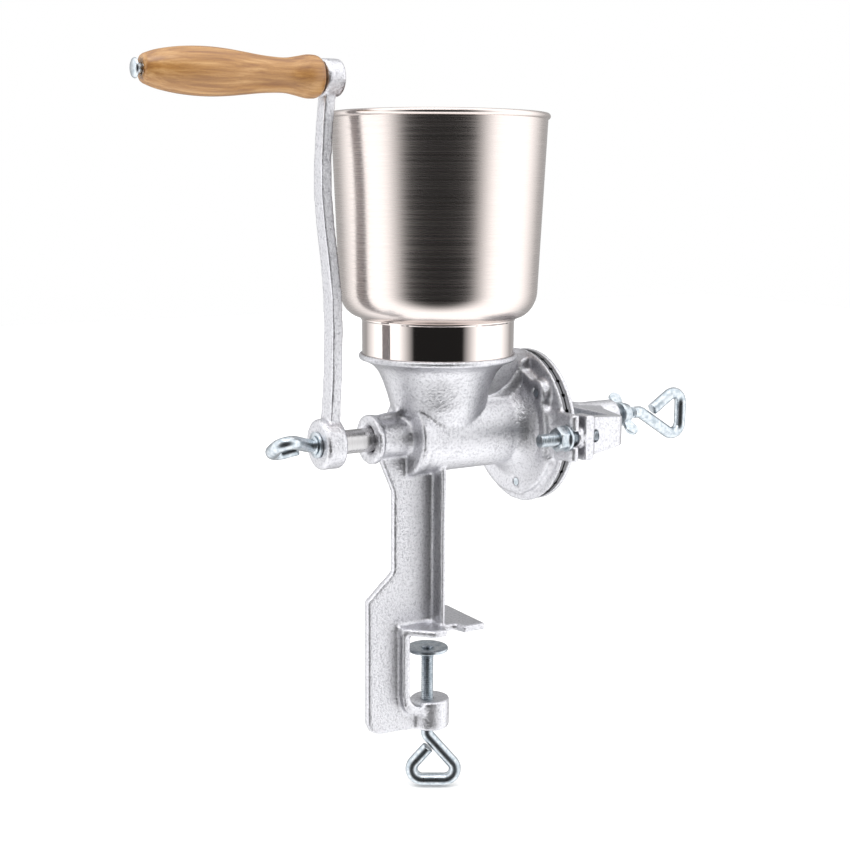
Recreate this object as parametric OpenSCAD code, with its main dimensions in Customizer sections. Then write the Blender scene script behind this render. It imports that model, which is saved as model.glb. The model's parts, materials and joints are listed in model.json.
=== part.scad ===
// Hand grain mill with a table clamp: a cast body carries a steel hopper on top, a worm and a
// pair of round burrs inside, a crank on one end of the shaft and an adjusting screw on the other.
// Units are millimetres and +Z is up. The origin is on the underside of the table plate, where
// the clamp screw's axis meets it. The shaft runs along X, with the burrs towards +X.

/* [Places] */
// Height of the shaft above the underside of the table plate
shaft_z = 123; // [120:1:130]
// Distance of the hopper's axis from the clamp screw's axis
hopper_x = 6; // [4:0.5:8]

/* [Hopper] */
// Inside of the hopper's sheet to its outside
hopper_wall = 0.8; // [0.6:0.1:1.2]
// Radius of the hopper's wall just under its rim
hopper_top_r = 63.9; // [62:0.1:64]
// Radius of the hopper's wall just above its rounded bottom
hopper_low_r = 59.7; // [58:0.1:61]
// Radius of the neck that stands in the body's mouth
neck_r = 46; // [45:0.1:46]
// Height of the rim above the shaft
hopper_top_z = 190; // [170:1:200]
// Radius of the rolled rim's wire
rim_r = 1.9; // [1.5:0.1:2.2]

/* [Body casting] */
// Radius of the barrel round the worm
barrel_r = 23.5; // [22:0.5:25]
// Radius of the barrel's bore
barrel_bore_r = 17.6; // [17.4:0.1:18]
// Radius of the flange that holds the fixed burr
flange_r = 49; // [48:0.1:49.4]
// Thickness of the post's web
web_t = 5.6; // [5:0.2:8]
// Width of the post's front flange
post_w = 30; // [26:1:32]
// Length of the table plate along X
plate_x = 40.5; // [34:0.5:42]
// Width of the table plate along Y
plate_y = 46; // [40:1:50]
// Thickness of the table plate
plate_t = 4.5; // [4:0.5:6]
// Clear height of the clamp's mouth
mouth_h = 48.5; // [44:0.5:52]
// Height of the lower jaw
jaw_h = 17; // [15:1:20]

/* [Crank] */
// Distance from the shaft to the grip's axis
crank_r = 209; // [200:1:215]
// Length of the wooden grip
grip_len = 104; // [100:1:106]

/* [Screws] */
// Radius of every M8 screw
m8_r = 4; // [3.9:0.05:4]
// Radial clearance between a screw and the thread it turns in
thread_gap = 0.08; // [0.05:0.01:0.1]
// Width of the adjusting and clamp screws' eyes, along the middle of the rod
eye_w = 27.6; // [26:0.1:28]
// Width of the crank screw's smaller eye, along the middle of the rod
small_eye_w = 19; // [18:0.5:21]
// Gap between the two burrs' faces at rest
burr_gap = 1; // [0.8:0.1:1.6]
// Distance from the table plate down to the clamp pad's top
pad_drop = 13; // [9:1:15]

/* [Hidden] */
$fn = 64;
fine = 32;

// Stations along the shaft, from the hopper's axis
tube_end = -49;
collar_in = -44.5;
wall_x0 = -24;
wall_x1 = -18;
raised_x = 54;
flange_x0 = 60;
flange_x1 = 62;
fixed_face_x = 64.2;
burr_t = fixed_face_x - flange_x1;
moving_face_x = fixed_face_x + burr_gap;
carrier_x0 = moving_face_x + burr_t;
carrier_x1 = carrier_x0 + 3;
carrier_r = 48.2;
carrier_hub_r = 13;
hub_end_x = 77;
ball_r = 3;
ball_x = 79;
crank_x0 = -82.6;
crank_x1 = -69.6;
crank_hub_r = 15;

// Shaft and worm
shaft_r = 7.15;
flat_half = 5.6;
flat_gap = 0.05;
worm_x0 = -12;
worm_len = 66;
worm_r = 17;
worm_turns = 3;

// Body details
mouth_z = 49.6;
seat_z = 47;
lip_r = neck_r + 2.2;
tube_r = 11.6;
collar_r = 15;
bearing_r = shaft_r + thread_gap;
raised_r = 38.5;
saddle_w = 24;
screw_circle_r = 36;
burr_screw_r = 2.5;
burr_nut_r = 4.6;
burr_nut_h = 3;
screw_angles = [138, 258, 18];
burr_r = 47.8;
furrow_depth = 0.8;
furrow_w = 2;
furrows = 30;
furrow_in = 24;
furrow_lean = 12;
fixed_hole_r = 19;
ear_y = 61;
ear_half_h = 14.6;
stud_y = 55;
slot_half = 4.6;

// Post and clamp, in the part's own frame
post_back = -26;
post_front = 3.6;
post_flange_t = 2.8;
heel_x = -43.9;
heel_top = 39;
heel_low = 23;
throat_x = -18;
throat_flange_t = 5.2;
throat_flange_y = 9.6;
jaw_top = -mouth_h;
jaw_bottom = jaw_top - jaw_h;
jaw_r = 12.2;
jaw_x = 2.1;
jaw_rise = 2;
plate_x0 = -12;
pad_r = 13;
pad_t = 2.2;
pad_top = -pad_drop;
rivet_r = 3.3;

// Bridge
foot_x0 = 67.2;
foot_x1 = 74;
foot_y = 49.2;
bar_x = 100;
bridge_hub_r = 10.4;
bridge_hub_x0 = 108;
bridge_hub_x1 = 137;
lock_nut_x = 142.5;
adjust_end_x = ball_x + ball_r + 0.3;
adjust_eye_x = 159.4;
stud_x0 = 37.5;
stud_x1 = 80;
washer_t = 1.6;
nut_h = 6.5;
ear_front_x = 57.5;
ear_back_x = 63.3;

// Crank and grip
crank_t = 6.5;
boss_r = 10.5;
pin_x = 73;
pin_r = 2.4;
pin_len = 27.2;
boss_x0 = -79;
boss_x1 = -67.3;
grip_x1 = boss_x0 - 0.9;
grip_x0 = grip_x1 - grip_len;
bolt_r = 2.7;
bolt_head_x = grip_x0 - 2.6;

// Puts its children in the shaft's frame: on the shaft's axis, under the hopper
module at_shaft() translate([hopper_x, 0, shaft_z]) children();

// A cylinder along X from x0 to x1
module rod_x(x0, x1, r, fn = $fn)
    translate([x0, 0, 0]) rotate([0, 90, 0]) cylinder(h = x1 - x0, r = r, $fn = fn);

// A solid of revolution about X, from a profile of [x, r] points
module turned_x(profile)
    rotate([0, 90, 0]) rotate_extrude() polygon([for (p = profile) [p[1], p[0]]]);

// An outline of [x, z] points, as thick as t along Y
module slab_xz(points, t)
    translate([0, t / 2, 0]) rotate([90, 0, 0]) linear_extrude(t) polygon(points);

// Puts its children on the burr screws' circle
module at_burr_screws()
    for (a = screw_angles)
        translate([0, screw_circle_r * cos(a), screw_circle_r * sin(a)]) children();

// The eye of a hand screw: the rod leaves the axis at the angle lean, rounds two corners and ends
// beside its own neck. It starts at the origin along +X and lies in the XY plane. The eye is w
// wide along the middle of its rod, and its middle is side off the axis.
neck_bend_r = 6;
eye_sides = 16;
eye_rod_r = m8_r - 0.05;
// Forms of the three eyes: angle lean, offset side, radius of the corners and length of the end
adjust_eye = [32, 3.1, 7, 16.9];
crank_eye = [36, 0.5, 6, 8];
clamp_eye = [41, 4.2, 7, 13.2];

// Stations round a corner centred on [x, y], as [x, y, heading]
function corner(x, y, r, h0, h1) = [for (i = [0:8]) let (h = h0 + (h1 - h0) * i / 8)
    [x - r * sin(h), y + r * cos(h), h]];

function eye_path(w, form) =
    let (lean = form[0], side = form[1], r = form[2], tail = form[3],
         y = w / 2 - r,
         leg_y = y + r * cos(lean),
         leg_x = neck_bend_r * sin(lean)
             + (side + leg_y - neck_bend_r * (1 - cos(lean))) / tan(lean),
         x = leg_x + r * sin(lean))
    concat([[-1, 0, 0]], corner(0, neck_bend_r, -neck_bend_r, 0, lean),
           corner(x, side + y, r, lean, -90), corner(x, side - y, r, -90, -180 - lean),
           [[leg_x - tail * cos(lean), side - leg_y + tail * sin(lean), -180 - lean]]);

module eye(path, r = eye_rod_r, n = eye_sides)
    polyhedron(
        points = [for (p = path) for (j = [0:n - 1]) let (b = 360 * j / n)
            [p[0] - sin(p[2]) * r * cos(b), p[1] + cos(p[2]) * r * cos(b), r * sin(b)]],
        faces = concat([[for (j = [0:n - 1]) j]],
            [for (i = [0:len(path) - 2]) for (j = [0:n - 1]) let (k = (j + 1) % n)
                [i * n + j, (i + 1) * n + j, (i + 1) * n + k, i * n + k]],
            [[for (j = [n - 1:-1:0]) (len(path) - 1) * n + j]]));

// ---- body casting ----

// Outside of the mouth and the funnel under it, above the shaft's axis
funnel_outline = [[0, -4], [20, -4], [22.5, 6], [26, 12], [29, 18], [31, 25], [33.4, 32],
                  [36, 38], [39.5, 42.4], [44, 45], [lip_r - 0.6, 46], [lip_r, 46.8],
                  [lip_r, mouth_z - 0.8], [lip_r - 0.7, mouth_z], [0, mouth_z]];
// Inside: the seat for the neck, the cone, and the throat above the worm
funnel_hollow = [[0, -2], [15, -2], [16, 14], [27, 27], [29.5, 35], [33, 40], [38, seat_z],
                 [neck_r + 0.1, seat_z], [neck_r + 0.1, mouth_z + 1], [0, mouth_z + 1]];

// Upright wall between the barrel's top and the top of the flange
module saddle()
    slab_xz([[20, 0], [26, 22], [36, 24], [44, 29], [50, 36], [54, 43], [flange_x0 + 1, 45.5],
             [flange_x0 + 1, 0]], saddle_w);

module flange() {
    rod_x(flange_x0, flange_x1, flange_r, 96);
    rod_x(raised_x, flange_x0 + 1, raised_r, 96);
    rod_x(20, raised_x + 1, barrel_r);
    turned_x([[44, 0], [44, barrel_r - 0.5], [50, 26.5], [raised_x + 0.5, 32],
              [raised_x + 0.5, 0]]);
    at_burr_screws() rod_x(raised_x, flange_x0 + 1, 8.4);
    intersection() {
        rod_x(raised_x, flange_x0 + 1, 43.4, 96);
        translate([raised_x, -50, -50]) cube([8, 100, 36]);
    }
}

// Ears on both sides of the flange, with open slots for the bridge's studs
module ears() {
    for (side = [-1, 1]) mirror([0, side > 0 ? 0 : 1, 0]) difference() {
        translate([0, 0, -ear_half_h]) linear_extrude(2 * ear_half_h)
            polygon([[raised_x - 1, 0], [raised_x - 1, 16], [ear_front_x, 44],
                     [ear_front_x, ear_y - 2], [ear_front_x + 1.4, ear_y],
                     [ear_back_x - 1, ear_y], [ear_back_x, ear_y - 1],
                     [ear_back_x, 0]]);
        translate([50, 46, -slot_half]) cube([20, 20, 2 * slot_half]);
    }
}

module bearing_tube() {
    rod_x(tube_end, collar_in, collar_r);
    rod_x(collar_in, wall_x0 + 1, tube_r);
    rod_x(wall_x0, wall_x1, barrel_r + 0.8);
    slab_xz([[tube_end + 0.5, 0], [tube_end + 0.5, 13.6], [wall_x0, 17], [wall_x0 + 2, 17],
             [wall_x0 + 2, 0]], 4.4);
    slab_xz([[wall_x0, 10], [wall_x0 + 0.5, 24], [-30, 36], [-33, 40], [-22, 40], [wall_x1, 20],
             [wall_x1, 10]], 9);
}

module post() {
    slab_xz([[-35.5, shaft_z - 11], [-32.5, shaft_z - 18.5], [post_back, shaft_z - 33.5],
             [post_back, heel_top], [heel_x, heel_low], [heel_x, jaw_bottom + 9.5],
             [heel_x + 2.4, jaw_bottom + 4.4], [heel_x + 8, jaw_bottom + 2],
             [-12, jaw_bottom + 0.8],
             [0, jaw_bottom], [0, jaw_top - 2], [-8, jaw_top - 1], [throat_x + 4, jaw_top + 1],
             [throat_x + 1, jaw_top + 5], [throat_x, jaw_top + 10],
             [throat_x, -2], [plate_x0 + 2, plate_t / 2], [post_front, plate_t / 2],
             [post_front, shaft_z - 8], [-20, shaft_z - 2]], web_t);
    translate([post_front - post_flange_t, -post_w / 2, 1])
        cube([post_flange_t, post_w, shaft_z - 18]);
}

// Rim of the clamp's throat: a strip that runs down from the plate and along the lower jaw
module throat_rim() {
    slab_xz([[throat_x - throat_flange_t, 2], [throat_x, 2], [throat_x, jaw_top + 10],
             [throat_x + 1, jaw_top + 5], [throat_x + 4, jaw_top + 1.4], [-8, jaw_top - 0.5],
             [0, jaw_top], [0, jaw_top - 4], [-9, jaw_top - 5.5], [throat_x - 1, jaw_top - 2.5],
             [throat_x - 4, jaw_top + 2], [throat_x - throat_flange_t, jaw_top + 9]],
            2 * throat_flange_y);
}

module table_plate() {
    difference() {
        linear_extrude(plate_t) polygon([
            [plate_x0 - 12, -6], [plate_x0 - 8, -12], [plate_x0, -plate_y / 2 + 3],
            [plate_x0 + 3, -plate_y / 2], [plate_x0 + plate_x, -plate_y / 2],
            [plate_x0 + plate_x, plate_y / 2], [plate_x0 + 3, plate_y / 2],
            [plate_x0, plate_y / 2 - 3], [plate_x0 - 8, 12], [plate_x0 - 12, 6]]);
        for (side = [-1, 1]) translate([6.5, side * (plate_y / 2 - 2.5), -1])
            linear_extrude(plate_t + 2) polygon([[-4, 5 * -side], [4, 5 * -side],
                                                 [6.5, 4 * side], [-6.5, 4 * side]]);
    }
}

module mill_body() {
    color("gainsboro") difference() {
        union() {
            at_shaft() {
                rotate_extrude($fn = 96) polygon(funnel_outline);
                rod_x(wall_x0 + 1, raised_x, barrel_r);
                saddle();
                flange();
                ears();
                bearing_tube();
            }
            post();
            throat_rim();
            table_plate();
            translate([jaw_x, 0, jaw_bottom]) cylinder(h = jaw_h + jaw_rise, r = jaw_r);
        }
        at_shaft() {
            rotate_extrude($fn = 96) polygon(funnel_hollow);
            rod_x(worm_x0 - 3, flange_x1 + 1, barrel_bore_r);
            rod_x(flange_x1, ear_back_x + 1, burr_r + 0.3, 96);
            rod_x(tube_end - 1, worm_x0, bearing_r);
            rod_x(tube_end - 1, tube_end + 2.4, bearing_r + 1.9);
            at_burr_screws() rod_x(raised_x - 1, flange_x1 + 1, burr_screw_r);
        }
        translate([0, 0, jaw_bottom - 1]) cylinder(h = jaw_h + jaw_rise + 2, r = m8_r);
    }
}

// ---- hopper ----

shoulder_z = 88.5;
neck_top_z = 71.5;
function shoulder(inset) = [for (a = [0:15:90])
    [neck_r + (hopper_low_r - neck_r) * cos(a) - inset,
     shoulder_z - (shoulder_z - neck_top_z) * sin(a) + inset * sin(a) * 0.9]];

module hopper()
    color("lightgray") at_shaft() {
        rotate_extrude($fn = 128) polygon(concat(
            [[hopper_top_r - rim_r, hopper_top_z - 1], [hopper_top_r, hopper_top_z - 1]],
            shoulder(0),
            [[neck_r + 0.7, neck_top_z - 1.6], [neck_r, neck_top_z - 2.4],
             [neck_r, seat_z + 0.05], [neck_r - hopper_wall, seat_z + 0.05],
             [neck_r - hopper_wall, neck_top_z]],
            [for (i = [5:-1:0]) shoulder(hopper_wall)[i]],
            [[hopper_top_r - hopper_wall, hopper_top_z - 3]]));
        rotate_extrude($fn = 128) translate([hopper_top_r - 0.2, hopper_top_z])
            circle(r = rim_r, $fn = 24);
    }

// ---- shaft, worm and burrs ----

module flight()
    translate([worm_x0, 0, 0]) rotate([0, 90, 0])
        linear_extrude(height = worm_len, twist = -360 * worm_turns, slices = 54, $fn = 6)
            polygon(concat([[0, 0]], [for (a = [-26:13:26]) worm_r * [cos(a), sin(a)]]));

module auger()
    color("silver") at_shaft() difference() {
        union() {
            rod_x(crank_x1, hub_end_x, shaft_r);
            flight();
            intersection() {
                rod_x(crank_x0 + 0.6, crank_x1 + 1, shaft_r);
                translate([crank_x0, -shaft_r - 1, -flat_half])
                    cube([16, 2 * shaft_r + 2, 2 * flat_half]);
            }
        }
        rod_x(crank_x0 - 1, crank_x1 + 14, m8_r + thread_gap);
        translate([ball_x, 0, 0]) sphere(r = ball_r + thread_gap, $fn = fine);
        translate([pin_x, 0, -20]) cylinder(h = 40, r = pin_r);
    }

module burr_carrier()
    color("silver") at_shaft() difference() {
        union() {
            rod_x(carrier_x0, carrier_x1, carrier_r, 96);
            rod_x(carrier_x1 - 1, hub_end_x - 0.4, carrier_hub_r);
            for (a = [0, 120, 240]) rotate([a, 0, 0])
                translate([carrier_x1 - 0.5, -2.6, 8]) cube([2.8, 5.2, 35]);
        }
        rod_x(carrier_x0 - 1, hub_end_x + 1, shaft_r);
        translate([pin_x, 0, -20]) cylinder(h = 40, r = pin_r);
        at_burr_screws() rod_x(carrier_x0 - 1, carrier_x1 + 1, burr_screw_r);
    }

module drive_pin()
    color("dimgray") at_shaft() translate([pin_x, 0, 0])
        cylinder(h = pin_len, r = pin_r, center = true);

// A burr plate from its back to its furrowed face, which may look either way along X
module burr_plate(back_x, face_x, hole_r, lean)
    difference() {
        rod_x(min(back_x, face_x), max(back_x, face_x), burr_r, 96);
        rod_x(min(back_x, face_x) - 1, max(back_x, face_x) + 1, hole_r);
        for (i = [0:furrows - 1]) rotate([360 * (i + 0.5) / furrows, 0, 0])
            translate([face_x, 0, furrow_in])
            rotate([lean, 0, 0]) translate([-furrow_depth, -furrow_w / 2, 0])
            cube([2 * furrow_depth, furrow_w, 30]);
        at_burr_screws() rod_x(min(back_x, face_x) - 1, max(back_x, face_x) + 1, burr_screw_r);
    }

module fixed_burr()
    color("gray") at_shaft() burr_plate(flange_x1, fixed_face_x, fixed_hole_r, furrow_lean);

module rotating_burr()
    color("gray") at_shaft() burr_plate(carrier_x0, moving_face_x, shaft_r, -furrow_lean);

module fixed_burr_screws()
    color("lightsteelblue") at_shaft() at_burr_screws()
        rod_x(raised_x + 0.6, fixed_face_x - 1, burr_screw_r);

module rotating_burr_screws()
    color("lightsteelblue") at_shaft() at_burr_screws() {
        rod_x(moving_face_x + 1, carrier_x1 + 4, burr_screw_r);
        rod_x(carrier_x1, carrier_x1 + burr_nut_h, burr_nut_r, 6);
    }

module thrust_ball()
    color("lightsteelblue") at_shaft() translate([ball_x, 0, 0]) sphere(r = ball_r, $fn = fine);

// ---- bridge and adjusting screw ----

module bridge_outline()
    polygon([[foot_x0, ear_y], [foot_x1, ear_y - 0.5], [77, 57.5], [101, 52.5], [105, 49.5],
             [108, 42], [113, 26], [118, 14], [122, bridge_hub_r - 1], [122, 0],
             [bar_x, 0], [bar_x, 36], [98.5, 42], [95, 45.5], [78, foot_y], [foot_x0, foot_y]]);

module bridge()
    color("gainsboro") at_shaft() difference() {
        union() {
            intersection() {
                translate([0, 0, -20]) linear_extrude(40) {
                    bridge_outline();
                    mirror([0, 1]) bridge_outline();
                }
                slab_xz([[foot_x0, -14], [foot_x1 - 1, -14], [76.5, -11.8], [101, -9.3],
                         [124, -8], [124, 8], [101, 9.5], [76.5, 11.8], [foot_x1 - 1, 13.5],
                         [foot_x0, 13.5]], 140);
            }
            rod_x(bridge_hub_x0, bridge_hub_x1 - 1, bridge_hub_r);
            rod_x(bridge_hub_x1 - 1, bridge_hub_x1, bridge_hub_r - 0.9);
            for (side = [-1, 1]) translate([0, side * stud_y, 0])
                rod_x(ear_back_x, foot_x0 + 0.5, 5.8);
        }
        rod_x(bar_x - 1, bridge_hub_x1 + 1, m8_r + thread_gap);
        for (side = [-1, 1]) translate([0, side * stud_y, 0])
            rod_x(ear_back_x - 1, stud_x1 + 0.5, m8_r);
    }

module bridge_studs()
    color("lightsteelblue") at_shaft() for (side = [-1, 1]) translate([0, side * stud_y, 0])
        turned_x([[stud_x0, 0], [stud_x0, 3.2], [stud_x0 + 0.8, m8_r], [stud_x1, m8_r],
                  [stud_x1, 0]]);

module stud_washers()
    color("lightsteelblue") at_shaft() for (side = [-1, 1])
        translate([0, side * stud_y, 0]) difference() {
            rod_x(ear_front_x - washer_t, ear_front_x, 8);
            rod_x(ear_front_x - 3, ear_front_x + 1, m8_r);
        }

module stud_nuts()
    color("lightsteelblue") at_shaft() for (side = [-1, 1])
        translate([ear_front_x - washer_t - nut_h, side * stud_y, 0]) difference() {
            intersection() {
                rod_x(0, nut_h, 7.5, 6);
                turned_x([[0, 0], [0, 6.5], [0.9, 7.6], [nut_h - 0.9, 7.6], [nut_h, 6.5],
                          [nut_h, 0]]);
            }
            rod_x(-1, nut_h + 1, m8_r);
        }

module adjusting_screw()
    color("lightsteelblue") at_shaft() {
        rod_x(adjust_end_x, adjust_eye_x, m8_r);
        translate([adjust_eye_x, 0, 0]) rotate([-90, 0, 0])
            eye(eye_path(eye_w, adjust_eye));
    }

module wing() {
    hull() {
        translate([3.2, 0, 6]) rotate([90, 0, 0]) cylinder(h = 3.4, r = 2.6, center = true, $fn = fine);
        translate([4.4, 0, 12.5]) rotate([90, 0, 0]) cylinder(h = 2.6, r = 4.6, center = true, $fn = fine);
    }
}

module lock_wing_nut()
    color("lightsteelblue") at_shaft() translate([lock_nut_x, 0, 0]) difference() {
        union() {
            turned_x([[0, 0], [0, 8], [1.5, 8.2], [7.5, 6.4], [8, 5.8], [8, 0]]);
            for (a = [-45, 135]) rotate([a, 0, 0]) wing();
        }
        rod_x(-1, 12, m8_r + thread_gap);
    }

// ---- crank ----

// Front edge of the arm, as [height, x] points: it bows in at the middle and out at the top
arm_front = [[11, -77.2], [40, -75.4], [67, -74.8], [87, -75.2], [107, -77.1], [126, -79.5],
             [145, -81.1], [163, -81], [182, -79.8], [203, -77.6]];

module arm_blade()
    intersection() {
        slab_xz(concat([for (p = arm_front) [p[1], p[0]]],
                       [for (i = [len(arm_front) - 1:-1:0])
                           [arm_front[i][1] + crank_t, arm_front[i][0]]]), 30);
        translate([-100, 0, 0]) rotate([90, 0, 90]) linear_extrude(60)
            polygon([[-6.7, 0], [6.7, 0], [4.75, crank_r], [-4.75, crank_r]]);
    }

module crank_arm()
    color("gainsboro") at_shaft() difference() {
        union() {
            turned_x([[crank_x0, 0], [crank_x0, crank_hub_r - 1.4],
                      [crank_x0 + 1.4, crank_hub_r], [crank_x1 - 1, crank_hub_r],
                      [crank_x1, crank_hub_r - 1], [crank_x1, 0]]);
            arm_blade();
            translate([0, 0, crank_r]) turned_x([[boss_x0, 0], [boss_x0, 9.3],
                [boss_x0 + 1.2, boss_r], [boss_x1 - 1.2, boss_r], [boss_x1, 9.3], [boss_x1, 0]]);
        }
        intersection() {
            rod_x(crank_x0 - 1, crank_x1 + 1, shaft_r + flat_gap);
            translate([crank_x0 - 2, -10, -flat_half - flat_gap])
                cube([18, 20, 2 * (flat_half + flat_gap)]);
        }
        translate([0, 0, crank_r]) rod_x(boss_x0 - 1, boss_x1 + 1, bolt_r);
    }

module crank_washer()
    color("lightsteelblue") at_shaft() difference() {
        rod_x(crank_x0 - washer_t, crank_x0, 7.8);
        rod_x(crank_x0 - 3, crank_x0 + 1, m8_r + 0.3);
    }

module crank_thumb_screw()
    color("lightsteelblue") at_shaft() {
        rod_x(crank_x0 - washer_t - 2, crank_x1 + 12, m8_r);
        difference() {
            rod_x(crank_x0 - washer_t - 1.4, crank_x0 - washer_t, 5.6);
            rod_x(crank_x0 - 6, crank_x0, m8_r - 0.5);
        }
        translate([crank_x0 - washer_t - 2, 0, 0]) rotate([-28, 0, 0]) rotate([0, 0, 180])
            eye(eye_path(small_eye_w, crank_eye));
    }

// Radii of the grip along its length, as [distance from its free end, radius] points
grip_shape = [[0, 6.2], [1.4, 7.9], [8, 10], [18, 11.9], [28, 12.9], [38, 13.1], [48, 12.6],
              [58, 11.5], [68, 10.3], [78, 9.5], [84, 9.6], [90, 10.8], [96, 12], [100, 12],
              [102.6, 11.2], [104, 9.8]];

module grip()
    color("burlywood") at_shaft() translate([grip_x0, 0, crank_r]) difference() {
        turned_x(concat([[0, 0]], [for (p = grip_shape) [p[0] * grip_len / 104, p[1]]],
                        [[grip_len, 0]]));
        rod_x(-1, grip_len + 1, bolt_r + thread_gap);
    }

module grip_bolt()
    color("lightsteelblue") at_shaft() translate([0, 0, crank_r]) {
        rod_x(bolt_head_x, boss_x1 - 1, bolt_r);
        turned_x([[bolt_head_x - 2.2, 0], [bolt_head_x - 2.2, 4.2], [bolt_head_x - 1.6, 5.35],
                  [bolt_head_x, 5.35], [bolt_head_x, 0]]);
    }

// ---- clamp ----

eye_turn = -31;
clamp_eye_z = -69;

module clamp_pad()
    color("lightsteelblue") difference() {
        rotate_extrude() polygon([[0, pad_top - pad_t], [pad_r - 0.6, pad_top - pad_t],
            [pad_r, pad_top - pad_t + 0.6], [pad_r, pad_top - 0.5], [pad_r - 0.5, pad_top],
            [8.5, pad_top], [7.5, pad_top - 0.3], [0, pad_top - 0.3]]);
        translate([0, 0, pad_top - 5]) cylinder(h = 10, r = rivet_r + thread_gap);
    }

module clamp_screw()
    color("lightsteelblue") {
        translate([0, 0, clamp_eye_z])
            cylinder(h = pad_top - pad_t - 0.4 - clamp_eye_z, r = m8_r - thread_gap);
        translate([0, 0, pad_top - pad_t - 1]) cylinder(h = pad_t + 1, r = rivet_r);
        translate([0, 0, pad_top + 0.1]) rotate_extrude()
            polygon([[0, -1], [rivet_r, -1], [rivet_r, 0], [rivet_r + 0.5, 0.1],
                     [rivet_r + 0.5, 0.5], [rivet_r - 0.6, 1.1], [0, 1.1]]);
        translate([0, 0, clamp_eye_z]) rotate([0, 0, eye_turn]) rotate([0, 90, 0])
            rotate([90, 0, 0]) eye(eye_path(eye_w, clamp_eye));
    }

mill_body();
hopper();
auger();
burr_carrier();
drive_pin();
fixed_burr();
rotating_burr();
fixed_burr_screws();
rotating_burr_screws();
thrust_ball();
bridge();
bridge_studs();
stud_washers();
stud_nuts();
adjusting_screw();
lock_wing_nut();
crank_arm();
crank_washer();
crank_thumb_screw();
grip();
grip_bolt();
clamp_pad();
clamp_screw();
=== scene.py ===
import json
import math

import bpy
from mathutils import Matrix, Quaternion, Vector


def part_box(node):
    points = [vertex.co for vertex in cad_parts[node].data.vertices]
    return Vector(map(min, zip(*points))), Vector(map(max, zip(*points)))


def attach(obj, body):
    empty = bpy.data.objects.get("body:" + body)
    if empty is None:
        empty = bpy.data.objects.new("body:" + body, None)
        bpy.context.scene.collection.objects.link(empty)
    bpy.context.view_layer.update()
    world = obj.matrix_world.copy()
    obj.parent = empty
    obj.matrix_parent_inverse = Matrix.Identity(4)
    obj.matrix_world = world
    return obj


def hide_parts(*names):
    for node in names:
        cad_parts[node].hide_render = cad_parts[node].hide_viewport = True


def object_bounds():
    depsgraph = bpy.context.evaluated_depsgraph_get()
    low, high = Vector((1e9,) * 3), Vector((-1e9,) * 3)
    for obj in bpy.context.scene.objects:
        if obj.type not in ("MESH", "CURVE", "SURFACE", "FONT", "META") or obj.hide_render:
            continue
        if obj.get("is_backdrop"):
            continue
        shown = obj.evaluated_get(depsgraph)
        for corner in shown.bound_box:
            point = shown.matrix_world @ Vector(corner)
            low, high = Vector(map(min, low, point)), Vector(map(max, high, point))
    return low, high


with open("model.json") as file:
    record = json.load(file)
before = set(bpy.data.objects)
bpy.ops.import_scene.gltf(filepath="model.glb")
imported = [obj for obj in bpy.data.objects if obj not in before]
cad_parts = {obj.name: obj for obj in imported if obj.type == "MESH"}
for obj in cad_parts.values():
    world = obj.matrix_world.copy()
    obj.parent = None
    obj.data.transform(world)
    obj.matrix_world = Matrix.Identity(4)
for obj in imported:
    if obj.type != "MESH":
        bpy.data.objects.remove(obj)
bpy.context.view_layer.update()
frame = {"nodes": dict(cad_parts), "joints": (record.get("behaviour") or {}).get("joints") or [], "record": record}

print("frame loaded:", len(frame["nodes"]), "CAD nodes")


def mm(value):
    return value / 1000


# Places, all from the frame, in metres. hopperX is on the shaft, under the hopper's axis.
joints = {joint["name"]: joint for joint in frame["joints"]}
hopperX, shaftY, shaftZ = joints["crank_turn"]["pos_m"]
gripZ = joints["grip_spin"]["pos_m"][2]


def objectMode():
    if bpy.context.object and bpy.context.object.mode != "OBJECT":
        bpy.ops.object.mode_set(mode="OBJECT")


def clearSelection():
    objectMode()
    bpy.ops.object.select_all(action="DESELECT")


def makeActive(piece):
    clearSelection()
    piece.select_set(True)
    bpy.context.view_layer.objects.active = piece


def editAll(piece):
    makeActive(piece)
    bpy.ops.object.mode_set(mode="EDIT")
    bpy.ops.mesh.select_all(action="SELECT")


def applyPlace(piece):
    makeActive(piece)
    bpy.ops.object.transform_apply(location=True, rotation=True, scale=True)


# Adds one modifier with its settings and applies it
def addModifier(piece, kind, **settings):
    makeActive(piece)
    modifier = piece.modifiers.new(kind.title(), kind)
    for name, value in settings.items():
        setattr(modifier, name, value)
    bpy.ops.object.modifier_apply(modifier=modifier.name)


def smoothShade(piece, degrees=35):
    makeActive(piece)
    bpy.ops.object.shade_smooth_by_angle(angle=math.radians(degrees))


def joinPieces(pieces, name):
    makeActive(pieces[0])
    for piece in pieces[1:]:
        piece.select_set(True)
    bpy.ops.object.join()
    pieces[0].name = name
    return pieces[0]


# Merges the doubles of a finished mesh, closes what is still open and turns its faces outwards
def closeMesh(piece):
    editAll(piece)
    bpy.ops.mesh.remove_doubles(threshold=mm(0.002))
    bpy.ops.mesh.fill_holes(sides=0)
    bpy.ops.mesh.select_all(action="SELECT")
    bpy.ops.mesh.normals_make_consistent(inside=False)
    objectMode()


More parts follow.
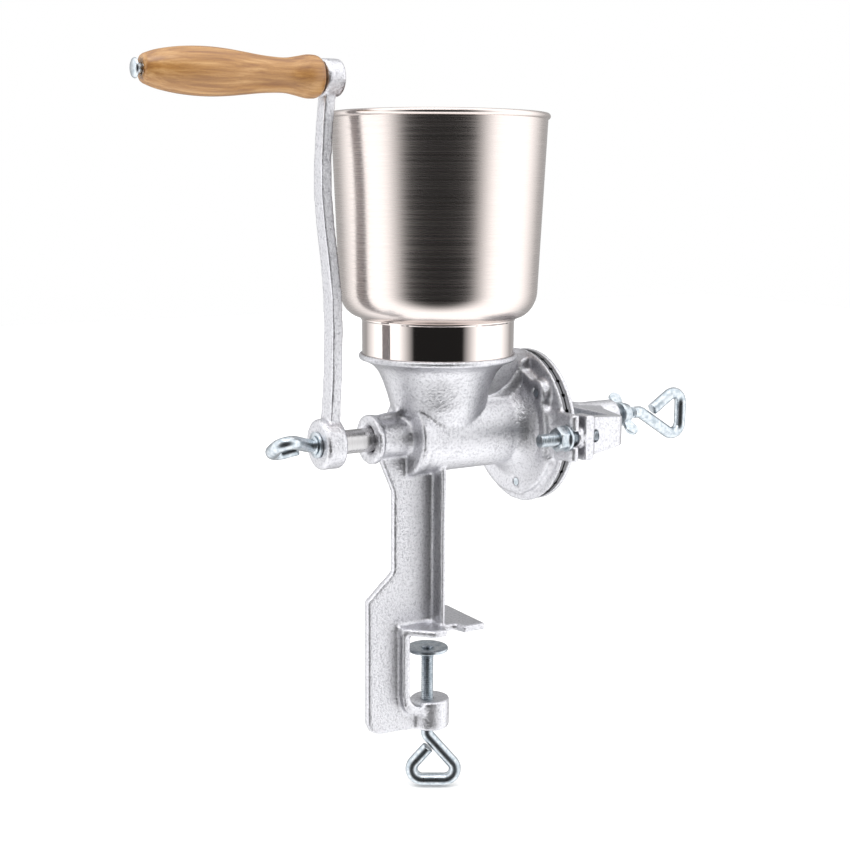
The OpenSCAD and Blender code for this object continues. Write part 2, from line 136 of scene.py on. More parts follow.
# A line of edges through (x, z) points in millimetres, drawn by extruding one point.
# It is left selected in edit mode.
def drawnLine(name, points):
    clearSelection()
    bpy.ops.mesh.primitive_plane_add(size=mm(1), location=(mm(points[0][0]), 0, mm(points[0][1])))
    piece = bpy.context.object
    piece.name = name
    bpy.ops.object.transform_apply(location=True)
    bpy.ops.object.mode_set(mode="EDIT")
    bpy.ops.mesh.select_all(action="SELECT")
    bpy.ops.mesh.merge(type="CENTER")
    for (x0, z0), (x1, z1) in zip(points, points[1:]):
        bpy.ops.mesh.extrude_region_move(TRANSFORM_OT_translate={"value": (mm(x1 - x0), 0, mm(z1 - z0))})
    bpy.ops.mesh.select_all(action="SELECT")
    return piece


# A turned piece: the profile of (radius, height) points in millimetres is drawn as a line and spun about Z.
# A profile that comes back to its first point makes a ring.
def spunPiece(name, profile, steps=96):
    piece = drawnLine(name, profile)
    bpy.ops.mesh.spin(steps=steps, angle=math.tau, center=(0, 0, 0), axis=(0, 0, 1))
    closeMesh(piece)
    return piece


# Points of a smooth curve through the given (distance, radius) points, with a few steps between each two
def easedCurve(points, steps=4):
    curve = []
    last = len(points) - 1
    for i in range(last):
        before, here = points[max(i - 1, 0)], points[i]
        there, after = points[i + 1], points[min(i + 2, last)]
        for step in range(steps):
            t = step / steps
            curve.append(tuple(0.5 * (2 * b + (c - a) * t + (2 * a - 5 * b + 4 * c - d) * t ** 2
                                      + (3 * b - a - 3 * c + d) * t ** 3)
                               for a, b, c, d in zip(before, here, there, after)))
    return curve + [points[last]]


# Turns a piece made along Z so that it runs along +X, or along -X, with its base at (x, y, z)
def placeAlongX(piece, x, y, z, mirrored=False):
    piece.rotation_euler = (0, math.radians(-90 if mirrored else 90), 0)
    piece.location = (x, y, z)
    applyPlace(piece)


# A copy of a CAD node's mesh as a new piece, with its loose triangles merged
def nodeCopy(nodeName, name):
    node = frame["nodes"][nodeName]
    clearSelection()
    piece = bpy.data.objects.new(name, node.data.copy())
    piece.data.materials.clear()
    bpy.context.scene.collection.objects.link(piece)
    editAll(piece)
    bpy.ops.mesh.remove_doubles(threshold=mm(0.001))
    objectMode()
    return piece


cameraPlace = {"azimuth": -31.6, "down": 9.85, "roll": 0.35, "lens": 58.6, "sensor": 36, "distance": mm(845),
               "aimX": hopperX - mm(8.8), "aimY": mm(0), "aimZ": shaftZ + mm(5.5)}


def makeCamera(place):
    bpy.ops.object.camera_add()
    camera = bpy.context.object
    camera.name = "camera"
    camera.data.lens = place["lens"]
    camera.data.sensor_width = place["sensor"]
    turn, down = math.radians(place["azimuth"]), math.radians(place["down"])
    forward = Vector((-math.sin(turn) * math.cos(down), math.cos(turn) * math.cos(down), -math.sin(down)))
    aim = Vector((place["aimX"], place["aimY"], place["aimZ"]))
    camera.location = aim - forward * place["distance"]
    roll = Quaternion((0, 0, 1), math.radians(place["roll"]))
    camera.rotation_euler = (forward.to_track_quat("-Z", "Y") @ roll).to_euler()
    bpy.context.scene.camera = camera


makeCamera(cameraPlace)
print("camera placed")


# sRGB hex to the linear colour that the shaders take
def hexColour(text):
    channels = [int(text[i:i + 2], 16) / 255 for i in (1, 3, 5)]
    linear = [c / 12.92 if c <= 0.04045 else ((c + 0.055) / 1.055) ** 2.4 for c in channels]
    return (*linear, 1)


# Adds a node: settings are its own properties or its sockets' values, links join its sockets to outputs
def addNode(tree, kind, settings, links):
    node = tree.nodes.new("ShaderNode" + kind)
    for name, value in settings.items():
        if isinstance(name, str) and hasattr(node, name):
            setattr(node, name, value)
        else:
            node.inputs[name].default_value = value
    for socket, source in links.items():
        tree.links.new(source, node.inputs[socket])
    return node


# Sets a ramp's stops from (position, value or hex colour) pairs
def setStops(ramp, stops):
    elements = ramp.color_ramp.elements
    while len(elements) < len(stops):
        elements.new(0.5)
    for element, (position, value) in zip(elements, stops):
        element.position = position
        element.color = hexColour(value) if isinstance(value, str) else (value, value, value, 1)
    return ramp.outputs["Color"]


def newMaterial(name):
    material = bpy.data.materials.new(name)
    material.use_nodes = True
    tree = material.node_tree
    shader = tree.nodes["Principled BSDF"]
    coordinates = tree.nodes.new("ShaderNodeTexCoord")
    return material, tree, shader, coordinates.outputs["Object"]


# How many pattern cells fit in a metre when one is so many millimetres wide
def perMetre(cell):
    return 1000 / cell


# The second, darker grey is painted shade, laid into the low places of the grain
castIron = {"colour": "#D2D2D6", "hollowShade": "#B4B4B9", "grain": 1.5, "grit": 0.6, "lift": 0.42, "pit": 8.0,
            "gritShare": 0.5, "pitShare": 0.12, "dullHollow": 0.40, "dullCrest": 0.30}


# Grey iron cast in sand and dipped in tin: bright and white, but rough as orange peel, with small pits in its
# bump; the low places of its grain get painted shade
def makeTinnedSandCastIron(look):
    material, tree, shader, place = newMaterial("tinnedSandCastIron")
    grain = addNode(tree, "TexNoise", {"Scale": perMetre(look["grain"]), "Detail": 3.0, "Roughness": 0.6},
                    {"Vector": place})
    grit = addNode(tree, "TexNoise", {"Scale": perMetre(look["grit"]), "Detail": 2.0}, {"Vector": place})
    pits = addNode(tree, "TexVoronoi", {"Scale": perMetre(look["pit"])}, {"Vector": place})
    pitDepth = setStops(addNode(tree, "ValToRGB", {}, {"Fac": pits.outputs["Distance"]}),
                        [(0.03, 0.0), (0.075, 1.0)])
    height = addNode(tree, "Math", {"operation": "MULTIPLY_ADD", 1: look["gritShare"]},
                     {0: grit.outputs["Fac"], 2: grain.outputs["Fac"]})
    withPits = addNode(tree, "Math", {"operation": "MULTIPLY_ADD", 1: look["pitShare"]},
                       {0: pitDepth, 2: height.outputs[0]})
    bump = addNode(tree, "Bump", {"Strength": 1.0, "Distance": mm(look["lift"])},
                   {"Height": withPits.outputs[0]})
    # Painted shade: the colour goes darker where the grain is low, in the hollows of the bump
    tone = setStops(addNode(tree, "ValToRGB", {}, {"Fac": grain.outputs["Fac"]}),
                    [(0.32, look["hollowShade"]), (0.52, look["colour"])])
    dullness = addNode(tree, "MapRange", {"From Min": 0.3, "From Max": 0.7, "To Min": look["dullHollow"],
                                          "To Max": look["dullCrest"]}, {"Value": grain.outputs["Fac"]})
    shader.inputs["Metallic"].default_value = 1
    tree.links.new(tone, shader.inputs["Base Color"])
    tree.links.new(dullness.outputs["Result"], shader.inputs["Roughness"])
    tree.links.new(bump.outputs["Normal"], shader.inputs["Normal"])
    return material


stainless = {"colour": "#D3CAC6", "ring": 0.55, "lift": 0.003, "bowlDull": 0.26, "neckDull": 0.08}


# Stainless sheet spun on a lathe: fine rings run round it, so reflections stretch up and down
def makeSpunStainless(name, dull, look):
    material, tree, shader, place = newMaterial(name)
    rings = addNode(tree, "Mapping", {"Scale": (6, 6, perMetre(look["ring"]))}, {"Vector": place})
    lines = addNode(tree, "TexNoise", {"Scale": 1.0, "Detail": 3.0}, {"Vector": rings.outputs["Vector"]})
    bump = addNode(tree, "Bump", {"Strength": 0.6, "Distance": mm(look["lift"])},
                   {"Height": lines.outputs["Fac"]})
    dullness = addNode(tree, "MapRange", {"From Min": 0.3, "From Max": 0.7, "To Min": dull * 0.85,
                                          "To Max": dull * 1.2}, {"Value": lines.outputs["Fac"]})
    shader.inputs["Metallic"].default_value = 1
    shader.inputs["Base Color"].default_value = hexColour(look["colour"])
    tree.links.new(dullness.outputs["Result"], shader.inputs["Roughness"])
    tree.links.new(bump.outputs["Normal"], shader.inputs["Normal"])
    return material


zinc = {"colour": "#C3C9CE", "cloud": "#A3ADB4", "spangle": 2.4, "lift": 0.01,
        "dullCloud": 0.36, "dullClear": 0.27}


# Bright zinc plate on drawn steel rod: bluish and glossy, with faint clouds
def makeBrightZincPlate(look):
    material, tree, shader, place = newMaterial("brightZincPlate")
    clouds = addNode(tree, "TexNoise", {"Scale": perMetre(look["spangle"]), "Detail": 2.0}, {"Vector": place})
    tone = setStops(addNode(tree, "ValToRGB", {}, {"Fac": clouds.outputs["Fac"]}),
                    [(0.35, look["cloud"]), (0.6, look["colour"])])
    dullness = addNode(tree, "MapRange", {"From Min": 0.3, "From Max": 0.7, "To Min": look["dullCloud"],
                                          "To Max": look["dullClear"]}, {"Value": clouds.outputs["Fac"]})
    bump = addNode(tree, "Bump", {"Strength": 0.5, "Distance": mm(look["lift"])},
                   {"Height": clouds.outputs["Fac"]})
    shader.inputs["Metallic"].default_value = 1
    tree.links.new(tone, shader.inputs["Base Color"])
    tree.links.new(dullness.outputs["Result"], shader.inputs["Roughness"])
    tree.links.new(bump.outputs["Normal"], shader.inputs["Normal"])
    return material


turned = {"colour": "#B4B3B4", "ring": 0.35, "lift": 0.02, "dull": 0.28}
ground = {"colour": "#6F6F72", "ring": 0.8, "lift": 0.05, "dull": 0.45}


# Steel or iron cut on a lathe: fine tool marks across the shaft's length
def makeLatheCutMetal(name, look):
    material, tree, shader, place = newMaterial(name)
    marks = addNode(tree, "Mapping", {"Scale": (perMetre(look["ring"]), 40, 40)}, {"Vector": place})
    lines = addNode(tree, "TexNoise", {"Scale": 1.0, "Detail": 2.0}, {"Vector": marks.outputs["Vector"]})
    bump = addNode(tree, "Bump", {"Strength": 0.7, "Distance": mm(look["lift"])},
                   {"Height": lines.outputs["Fac"]})
    dullness = addNode(tree, "MapRange", {"From Min": 0.3, "From Max": 0.7, "To Min": look["dull"] * 0.8,
                                          "To Max": look["dull"] * 1.25}, {"Value": lines.outputs["Fac"]})
    shader.inputs["Metallic"].default_value = 1
    shader.inputs["Base Color"].default_value = hexColour(look["colour"])
    tree.links.new(dullness.outputs["Result"], shader.inputs["Roughness"])
    tree.links.new(bump.outputs["Normal"], shader.inputs["Normal"])
    return material


beech = {"light": "#BC905A", "middle": "#A2733B", "dark": "#845627", "fleck": "#63401E",
         "grain": 3.2, "grainRun": 60, "fleckLength": 2.4, "fleckWidth": 0.5, "lift": 0.05,
         "dull": 0.42, "lacquer": 0.35, "lacquerDull": 0.22, "lacquerIor": 1.5}


# Turned beech under clear lacquer: golden tan with long faint grain and short dark flecks
def makeLacqueredBeech(look):
    material, tree, shader, place = newMaterial("lacqueredBeech")
    along = addNode(tree, "Mapping", {"Scale": (perMetre(look["grainRun"]), perMetre(look["grain"]),
                                                perMetre(look["grain"]))}, {"Vector": place})
    grain = addNode(tree, "TexNoise", {"Scale": 1.0, "Detail": 5.0, "Roughness": 0.6},
                    {"Vector": along.outputs["Vector"]})
    tone = setStops(addNode(tree, "ValToRGB", {}, {"Fac": grain.outputs["Fac"]}),
                    [(0.34, look["dark"]), (0.5, look["middle"]), (0.66, look["light"])])
    flecks = addNode(tree, "Mapping", {"Scale": (perMetre(look["fleckLength"]), perMetre(look["fleckWidth"]),
                                                 perMetre(look["fleckWidth"]))}, {"Vector": place})
    dashes = addNode(tree, "TexVoronoi", {"Scale": 1.0}, {"Vector": flecks.outputs["Vector"]})
    dashMask = setStops(addNode(tree, "ValToRGB", {}, {"Fac": dashes.outputs["Distance"]}),
                        [(0.10, 0.45), (0.24, 0.0)])
    colour = addNode(tree, "Mix", {"data_type": "RGBA", 7: hexColour(look["fleck"])}, {0: dashMask, 6: tone})
    bump = addNode(tree, "Bump", {"Strength": 0.25, "Distance": mm(look["lift"])},
                   {"Height": grain.outputs["Fac"]})
    shader.inputs["Roughness"].default_value = look["dull"]
    shader.inputs["IOR"].default_value = look["lacquerIor"]
    shader.inputs["Coat Weight"].default_value = look["lacquer"]
    shader.inputs["Coat Roughness"].default_value = look["lacquerDull"]
    tree.links.new(colour.outputs[2], shader.inputs["Base Color"])
    tree.links.new(bump.outputs["Normal"], shader.inputs["Normal"])
    return material


tinnedIron = makeTinnedSandCastIron(castIron)
satinBowl = makeSpunStainless("satinSpunStainless", stainless["bowlDull"], stainless)
polishedNeck = makeSpunStainless("polishedSpunStainless", stainless["neckDull"], stainless)
zincPlate = makeBrightZincPlate(zinc)
turnedSteel = makeLatheCutMetal("turnedSteel", turned)
burrIron = makeLatheCutMetal("groundBurrIron", ground)
woodGrip = makeLacqueredBeech(beech)
slotMaterials = {"tinned_iron": tinnedIron, "stainless": satinBowl, "zinc_plate": zincPlate,
                 "turned_steel": turnedSteel, "burr_iron": burrIron, "beech": woodGrip}
nodeSlots = {part["node"]: part["material_slot"] for part in frame["record"]["subparts"]}
print("materials made")


# Every CAD node that stays gets the material of its slot
for nodeName, node in frame["nodes"].items():
    node.data.materials.clear()
    node.data.materials.append(slotMaterials[nodeSlots[nodeName]])


# A finished piece: it rides on its body, stands for its nodes and takes their material and slot
def finishPiece(piece, body, *nodeNames):
    if not piece.data.materials:
        piece.data.materials.append(slotMaterials[nodeSlots[nodeNames[0]]])
    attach(piece, body)
    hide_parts(*nodeNames)
    print("made", piece.name, "with", len(piece.data.polygons), "faces")


# Castings: the edges are rounded as a sand mould leaves them, and the skin is a little uneven
castings = {
    "mill_body": {"body": "mill", "name": "millCasting", "voxel": 1.15, "rounding": 5, "unevenness": 0.16},
    "bridge": {"body": "mill", "name": "bridgeCasting", "voxel": 0.7, "rounding": 5, "unevenness": 0.16},
    "crank_arm": {"body": "rotor", "name": "crankCasting", "voxel": 0.65, "rounding": 5, "unevenness": 0.12},
    "burr_carrier": {"body": "rotor", "name": "carrierCasting", "voxel": 0.8, "rounding": 3,
                     "unevenness": 0.1}}
sandCloud = bpy.data.textures.new("sandCloud", "CLOUDS")
sandCloud.noise_scale = mm(5)


def makeCasting(nodeName, casting):
    piece = nodeCopy(nodeName, casting["name"])
    addModifier(piece, "REMESH", mode="VOXEL", voxel_size=mm(casting["voxel"]))
    addModifier(piece, "SMOOTH", factor=0.5, iterations=casting["rounding"])
    addModifier(piece, "DISPLACE", texture=sandCloud, texture_coords="LOCAL", mid_level=0.62,
                strength=mm(casting["unevenness"]))
    smoothShade(piece, 60)
    finishPiece(piece, casting["body"], nodeName)


for nodeName, casting in castings.items():
    makeCasting(nodeName, casting)


# The hopper: a thin spun shell, with a rolled rim, a rounded shoulder and a rolled bead above
# its polished neck
hopperLow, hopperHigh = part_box("hopper")
rimWire = 1.9
hopper = {"rimRadius": (hopperHigh.x - hopperX) * 1000 - rimWire, "wireRadius": rimWire, "sheet": 0.8,
          "lowRadius": 59.7, "neckRadius": 46, "rimZ": 190, "shoulderZ": 88.5, "neckTopZ": 71.5,
          "footZ": (hopperLow.z - shaftZ) * 1000, "bead": 0.7}


def makeHopper(shape):
    sheet, neck, low, top = shape["sheet"], shape["neckRadius"], shape["lowRadius"], shape["rimRadius"]
    rise = shape["shoulderZ"] - shape["neckTopZ"]
    shoulderTurns = [math.radians(7.5 * i) for i in range(13)]
    outside = [(neck + (low - neck) * math.cos(turn), shape["shoulderZ"] - rise * math.sin(turn))
               for turn in shoulderTurns]
    inside = [(neck - sheet + (low - neck) * math.cos(turn),
               shape["shoulderZ"] + sheet * 0.4 - (rise - sheet) * math.sin(turn)) for turn in shoulderTurns]
    curlTurns = [math.radians(-75 + 22.5 * i) for i in range(14)]
    wire = shape["wireRadius"]
    curl = [(top + wire * math.cos(turn), shape["rimZ"] + wire * math.sin(turn)) for turn in curlTurns]
    bead = [(neck + shape["bead"], shape["neckTopZ"] - 0.6), (neck + shape["bead"], shape["neckTopZ"] - 1.3),
            (neck + 0.1, shape["neckTopZ"] - 2.0)]
    profile = (outside[:-1] + bead + [(neck, shape["footZ"] + 0.3), (neck - 0.3, shape["footZ"]),
               (neck - sheet, shape["footZ"])] + inside[::-1]
               + [(top - wire - 0.2, shape["rimZ"] - 3)] + curl[::-1] + [outside[0]])
    piece = spunPiece("spunHopper", profile, steps=160)
    piece.location = (hopperX, shaftY, shaftZ)
    applyPlace(piece)
    smoothShade(piece, 40)
    piece.data.materials.append(satinBowl)
    piece.data.materials.append(polishedNeck)
    neckTop = shaftZ + mm(shape["neckTopZ"] - 0.9)
    for face in piece.data.polygons:
        face.material_index = 1 if face.center.z < neckTop else 0
    finishPiece(piece, "hopper", "hopper")


makeHopper(hopper)


# Screws: a rod with a rolled thread, made along +Z from 0 to its length
screwThread = {"pitch": 1.25, "depth": 0.62, "steps": 20}


def threadedRod(name, radius, length):
    pitch, root = screwThread["pitch"], radius - screwThread["depth"]
    start = -1.6 * pitch
    tooth = [(root, start), (root, start + 0.12 * pitch), (radius, start + 0.5 * pitch),
             (radius, start + 0.62 * pitch), (root, start + pitch)]
    piece = drawnLine(name, tooth)
    addModifier(piece, "SCREW", screw_offset=mm(pitch), iterations=math.ceil(length / pitch) + 3,
                steps=screwThread["steps"], render_steps=screwThread["steps"], use_merge_vertices=True,
                merge_threshold=mm(0.002))
    editAll(piece)
    bpy.ops.mesh.remove_doubles(threshold=mm(0.002))
    bpy.ops.mesh.bisect(plane_co=(0, 0, 0), plane_no=(0, 0, 1), use_fill=True, clear_inner=True)
    bpy.ops.mesh.select_all(action="SELECT")
    bpy.ops.mesh.bisect(plane_co=(0, 0, mm(length)), plane_no=(0, 0, 1), use_fill=True, clear_outer=True)
    closeMesh(piece)
    return piece


# Moves the selected end ring of a bent rod straight on, by a distance and a heading in degrees
def rodStraight(length, heading):
    turn = math.radians(heading)
    bpy.ops.mesh.extrude_region_move(TRANSFORM_OT_translate={
        "value": (mm(length) * math.cos(turn), mm(length) * math.sin(turn), 0)})


# Bends the end ring round a centre by an angle in degrees, left if it is above zero.
# Spin turns the other way.
def rodBend(centre, angle, steps):
    bpy.ops.mesh.spin(steps=steps, angle=-math.radians(angle), center=(mm(centre[0]), mm(centre[1]), 0),
                      axis=(0, 0, 1))


# The eye of a hand screw, bent from rod: it leaves the origin along +X, leans off the axis, rounds
# two corners and ends beside its own neck. All its middle line lies in the XY plane.
def bentEye(name, eye):
    lean = math.radians(eye["lean"])
    corner, neckBend, radius = eye["corner"], eye["neckBend"], eye["rod"]
    halfStraight = eye["width"] / 2 - corner
    legY = halfStraight + corner * math.cos(lean)
    legX = (neckBend * math.sin(lean)
            + (eye["side"] + legY - neckBend * (1 - math.cos(lean))) / math.tan(lean))
    cornerX = legX + corner * math.sin(lean)
    legLength = (legX - neckBend * math.sin(lean)) / math.cos(lean)
    clearSelection()
    bpy.ops.mesh.primitive_circle_add(vertices=24, radius=mm(radius), location=(mm(-eye["neck"]), 0, 0),
                                      rotation=(0, math.radians(90), 0))
    piece = bpy.context.object
    piece.name = name
    bpy.ops.object.transform_apply(location=True, rotation=True)
    bpy.ops.object.mode_set(mode="EDIT")
    bpy.ops.mesh.select_all(action="SELECT")
    rodStraight(eye["neck"], 0)
    rodBend((0, neckBend), eye["lean"], 6)
    rodStraight(legLength, eye["lean"])
    rodBend((cornerX, eye["side"] + halfStraight), -eye["lean"] - 90, 14)
    rodStraight(2 * halfStraight, -90)
    rodBend((cornerX, eye["side"] - halfStraight), -eye["lean"] - 90, 14)
    rodStraight(eye["tail"] - 0.4, 180 - eye["lean"])
    rodStraight(0.4, 180 - eye["lean"])
    end = (mm(legX - eye["tail"] * math.cos(lean)), mm(eye["side"] - legY + eye["tail"] * math.sin(lean)), 0)
    bpy.ops.transform.resize(value=(0.88, 0.88, 0.88), center_override=end)
    closeMesh(piece)
    return piece


handScrews = {
    "clamp_screw": {"body": "clamp_screw", "name": "clampHandScrew", "rod": 3.92, "width": 27.6, "lean": 41,
                    "side": 4.2, "corner": 7, "neckBend": 6, "neck": 1, "tail": 13.2, "eyeZ": -69,
                    "turn": -31, "padGap": 0.4, "overlap": 0.5, "rivet": 3.3},
    "adjusting_screw": {"body": "adjuster", "name": "adjustingHandScrew", "rod": 3.95, "width": 27.6,
                        "lean": 32, "side": 3.1, "corner": 7, "neckBend": 6, "neck": 4, "tail": 16.9,
                        "eyeX": 159.4, "threadLength": 73.6},
    "crank_thumb_screw": {"body": "crank_screw", "name": "crankHandScrew", "rod": 3.95, "width": 19,
                          "lean": 36, "side": 0.5, "corner": 6, "neckBend": 6, "neck": 2, "tail": 8,
                          "tilt": -28, "threadLength": 26.6}}


def makeClampScrew(screw):
    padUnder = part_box("clamp_pad")[0].z
    eye = bentEye("clampEye", screw)
    eye.matrix_world = (Matrix.Translation((0, 0, mm(screw["eyeZ"])))
                        @ Matrix.Rotation(math.radians(screw["turn"]), 4, "Z")
                        @ Matrix.Rotation(math.radians(90), 4, "Y")
                        @ Matrix.Rotation(math.radians(90), 4, "X"))
    applyPlace(eye)
    rodTop = padUnder - mm(screw["padGap"])
    threadLength = (rodTop - mm(screw["eyeZ"])) * 1000 - screw["overlap"]
    thread = threadedRod("clampThread", screw["rod"], threadLength)
    thread.location = (0, 0, mm(screw["eyeZ"] + screw["overlap"]))
    applyPlace(thread)
    rivetFoot = padUnder * 1000 - 1
    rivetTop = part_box("clamp_screw")[1].z * 1000
    rivet = spunPiece("clampRivet", [
        (0, rivetFoot), (screw["rivet"], rivetFoot), (screw["rivet"], rivetTop - 1.1), (3.8, rivetTop - 0.95),
        (3.75, rivetTop - 0.6), (3.1, rivetTop - 0.15), (1.8, rivetTop), (0.9, rivetTop - 0.1),
        (0, rivetTop - 0.14)], steps=32)
    piece = joinPieces([eye, thread, rivet], screw["name"])
    smoothShade(piece, 40)
    finishPiece(piece, screw["body"], "clamp_screw")


def makeAdjustingScrew(screw):
    eye = bentEye("adjustingEye", screw)
    eye.matrix_world = (Matrix.Translation((hopperX + mm(screw["eyeX"]), shaftY, shaftZ))
                        @ Matrix.Rotation(math.radians(-90), 4, "X"))
    applyPlace(eye)
    thread = threadedRod("adjustingThread", screw["rod"], screw["threadLength"])
    placeAlongX(thread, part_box("adjusting_screw")[0].x, shaftY, shaftZ)
    piece = joinPieces([eye, thread], screw["name"])
    smoothShade(piece, 40)
    finishPiece(piece, screw["body"], "adjusting_screw")


def makeCrankScrew(screw):
    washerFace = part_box("crank_washer")[0].x
    eye = bentEye("crankEye", screw)
    eye.matrix_world = (Matrix.Translation((washerFace - mm(2), shaftY, shaftZ))
                        @ Matrix.Rotation(math.radians(screw["tilt"]), 4, "X")
                        @ Matrix.Rotation(math.radians(180), 4, "Z"))
    applyPlace(eye)
    thread = threadedRod("crankThread", screw["rod"], screw["threadLength"])
    placeAlongX(thread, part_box("crank_thumb_screw")[1].x, shaftY, shaftZ, mirrored=True)
    collar = spunPiece("crankCollar", [(0, 0.05), (5.2, 0.05), (5.6, 0.4), (5.6, 1.0), (5.1, 1.4), (0, 1.4)],
                       steps=40)
    placeAlongX(collar, washerFace, shaftY, shaftZ, mirrored=True)
    piece = joinPieces([eye, thread, collar], screw["name"])
    smoothShade(piece, 40)
    finishPiece(piece, screw["body"], "crank_thumb_screw")


makeClampScrew(handScrews["clamp_screw"])
makeAdjustingScrew(handScrews["adjusting_screw"])
makeCrankScrew(handScrews["crank_thumb_screw"])


# The bridge's two studs, with their thread showing past the nuts
bridgeStud = {"rod": 3.95, "nominal": 4}


def makeStuds(shape):
    low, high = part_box("bridge_studs")
    length = (high.x - low.x) * 1000
    studs = []
    for side in (-1, 1):
        stud = threadedRod("stud", shape["rod"], length)
        studY = side * (high.y - mm(shape["nominal"]))
        placeAlongX(stud, low.x, studY, shaftZ)
        studs.append(stud)
    piece = joinPieces(studs, "bridgeStuds")
    smoothShade(piece, 40)
    finishPiece(piece, "mill", "bridge_studs")


makeStuds(bridgeStud)


# Small hardware: copies of the CAD solids with their sharp edges rounded
hardware = {"stud_nuts": {"body": "mill", "name": "studNuts", "bevel": 0.3},
            "stud_washers": {"body": "mill", "name": "studWashers", "bevel": 0.25},
            "crank_washer": {"body": "crank_washer", "name": "crankWasher", "bevel": 0.3}}


def makeHardware(nodeName, part):
    piece = nodeCopy(nodeName, part["name"])
    editAll(piece)
    bpy.ops.mesh.dissolve_limited(angle_limit=math.radians(2))
    objectMode()
    addModifier(piece, "BEVEL", width=mm(part["bevel"]), segments=2, limit_method="ANGLE",
                angle_limit=math.radians(40))
    smoothShade(piece, 30)
    finishPiece(piece, part["body"], nodeName)


for nodeName, part in hardware.items():
    makeHardware(nodeName, part)


# The lock nut: two oval wings grow out of a round hub, pressed and smooth
lockNut = {"voxel": 0.32, "rounding": 6}


def makeLockNut(shape):
    piece = nodeCopy("lock_wing_nut", "lockWingNut")
    addModifier(piece, "REMESH", mode="VOXEL", voxel_size=mm(shape["voxel"]))
    addModifier(piece, "SMOOTH", factor=0.5, iterations=shape["rounding"])
    smoothShade(piece, 60)
    finishPiece(piece, "lock_nut", "lock_wing_nut")


makeLockNut(lockNut)


# The clamp's swivel pad: a pressed disc, a little dished, with a rounded rim
clampPad = {"radius": 13, "hole": 3.36, "dish": 0.3}


def makeClampPad(pad):
    low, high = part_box("clamp_pad")
    radius, top, under = pad["radius"], high.z * 1000, low.z * 1000
    piece = spunPiece("clampPadDisc", [
        (pad["hole"], under), (radius - 0.8, under), (radius - 0.2, under + 0.25), (radius, under + 0.8),
        (radius, top - 0.7), (radius - 0.2, top - 0.2), (radius - 0.6, top), (8.5, top), (8.0, top - 0.12),
        (7.4, top - pad["dish"]), (pad["hole"] + 0.2, top - pad["dish"]),
        (pad["hole"], top - pad["dish"] - 0.2), (pad["hole"], under)], steps=72)
    smoothShade(piece, 40)
    finishPiece(piece, "clamp_pad", "clamp_pad")


makeClampPad(clampPad)


# The grip: turned beech, thin at its free end, full in the middle and waisted before the crank's boss
grip = {"length": 104, "bore": 2.8, "shape": [
    (1.6, 7.8), (8, 10), (18, 11.9), (28, 12.85), (38, 13.05), (48, 12.5), (58, 11.4), (68, 10.2), (78, 9.55),
    (84, 9.65), (90, 10.7), (96, 11.9), (100.4, 11.9)]}


def makeGrip(shape):
    length, bore = shape["length"], shape["bore"]
    profile = ([(bore, 0.6), (bore + 0.6, 0.05), (5.6, 0), (7.0, 0.5)]
               + [(radius, along) for along, radius in easedCurve(shape["shape"])]
               + [(11.5, 101.9), (10.8, 103.1), (9.4, length - 0.1), (bore + 0.5, length),
                  (bore, length - 0.6), (bore, 0.6)])
    piece = spunPiece("turnedGrip", profile, steps=96)
    placeAlongX(piece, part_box("grip")[0].x, shaftY, gripZ)
    smoothShade(piece, 50)
    finishPiece(piece, "grip", "grip")


makeGrip(grip)


def makeGripBolt():
    low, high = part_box("grip_bolt")
    length = (high.x - low.x) * 1000
    piece = spunPiece("gripBolt", [(0, 0), (2.2, 0.02), (3.9, 0.25), (4.9, 0.8), (5.35, 1.5), (5.35, 1.9),
                                   (5.0, 2.2), (2.7, 2.25), (2.7, length - 0.4), (2.3, length), (0, length)],
                      steps=48)
    placeAlongX(piece, low.x, shaftY, gripZ)
    smoothShade(piece, 40)
    finishPiece(piece, "rotor", "grip_bolt")


makeGripBolt()


# Floor, background and light
room = {"floorSize": 6.0, "paper": "#FFFFFF", "dark": 0.02, "side": 1.9, "back": 0.5,
        "darkEdge": 37, "brightEdge": 62, "backEdge": 106, "greyEdge": 138}


def lookAt(lamp, target):
    lamp.rotation_euler = (target - lamp.location).to_track_quat("-Z", "Y").to_euler()


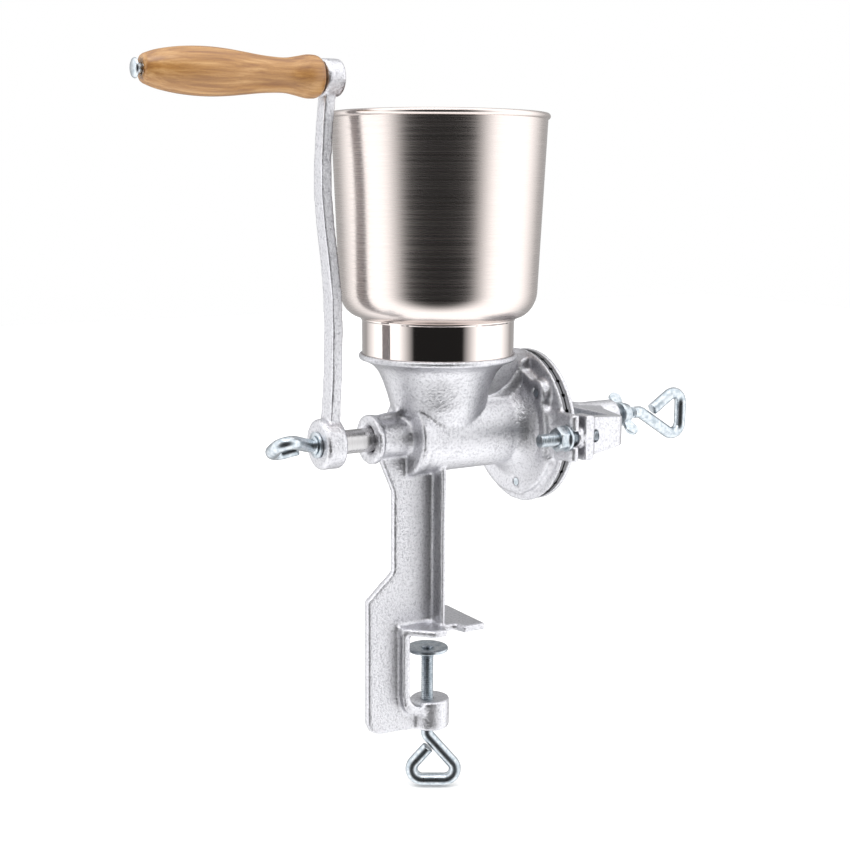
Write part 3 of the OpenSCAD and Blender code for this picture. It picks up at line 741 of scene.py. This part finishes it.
# A white room to the eye. What the metal mirrors is dark in front, where the room is left unlit,
# bright at the sides and above, and grey behind: the brightness follows the angle from the front.
def makeWorld(look):
    world = bpy.data.worlds.new("paleRoom")
    world.use_nodes = True
    tree = world.node_tree
    background = tree.nodes["Background"]
    path = addNode(tree, "LightPath", {}, {})
    place = tree.nodes.new("ShaderNodeTexCoord")
    turn = math.radians(cameraPlace["azimuth"])
    front = addNode(tree, "VectorMath", {"operation": "DOT_PRODUCT", 1: (math.sin(turn), -math.cos(turn), 0)},
                    {0: place.outputs["Generated"]})
    angle = addNode(tree, "Math", {"operation": "ARCCOSINE"}, {0: front.outputs["Value"]})
    share = addNode(tree, "MapRange", {"From Min": 0, "From Max": math.pi}, {"Value": angle.outputs[0]})
    brightness = setStops(addNode(tree, "ValToRGB", {}, {"Fac": share.outputs["Result"]}),
                          [(look["darkEdge"] / 180, look["dark"]), (look["brightEdge"] / 180, look["side"]),
                           (look["backEdge"] / 180, look["side"]), (look["greyEdge"] / 180, look["back"])])
    strength = addNode(tree, "Mix", {3: 1.0}, {0: path.outputs["Is Camera Ray"], 2: brightness})
    background.inputs["Color"].default_value = (1, 1, 1, 1)
    tree.links.new(strength.outputs[0], background.inputs["Strength"])
    bpy.context.scene.world = world
    bpy.context.scene.view_settings.view_transform = "Standard"


softboxes = {"topSoftbox": {"at": (-0.5, -0.5, 1.3), "size": (0.9, 0.7), "power": 7}}


def makeSoftbox(name, lamp):
    clearSelection()
    bpy.ops.object.light_add(type="AREA", location=Vector(lamp["at"]) + Vector((hopperX, 0, shaftZ)))
    box = bpy.context.object
    box.name = name
    box.data.shape = "RECTANGLE"
    box.data.size, box.data.size_y = lamp["size"]
    box.data.energy = lamp["power"]
    lookAt(box, Vector((hopperX, 0, shaftZ + mm(60))))


def makeFloor(look):
    clearSelection()
    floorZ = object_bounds()[0].z - mm(1)
    bpy.ops.mesh.primitive_plane_add(size=look["floorSize"], location=(0, 0, floorZ))
    floor = bpy.context.object
    floor.name = "paperFloor"
    applyPlace(floor)
    material, tree, shader, place = newMaterial("mattWhitePaper")
    fibres = addNode(tree, "TexNoise", {"Scale": perMetre(2.0), "Detail": 2.0}, {"Vector": place})
    tone = setStops(addNode(tree, "ValToRGB", {}, {"Fac": fibres.outputs["Fac"]}),
                    [(0.3, "#FDFDFD"), (0.7, look["paper"])])
    tree.links.new(tone, shader.inputs["Base Color"])
    shader.inputs["Roughness"].default_value = 0.9
    floor.data.materials.append(material)
    floor.visible_glossy = False
    floor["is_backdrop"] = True


makeWorld(room)
for name, lamp in softboxes.items():
    makeSoftbox(name, lamp)
makeFloor(room)
print("room and lights placed")
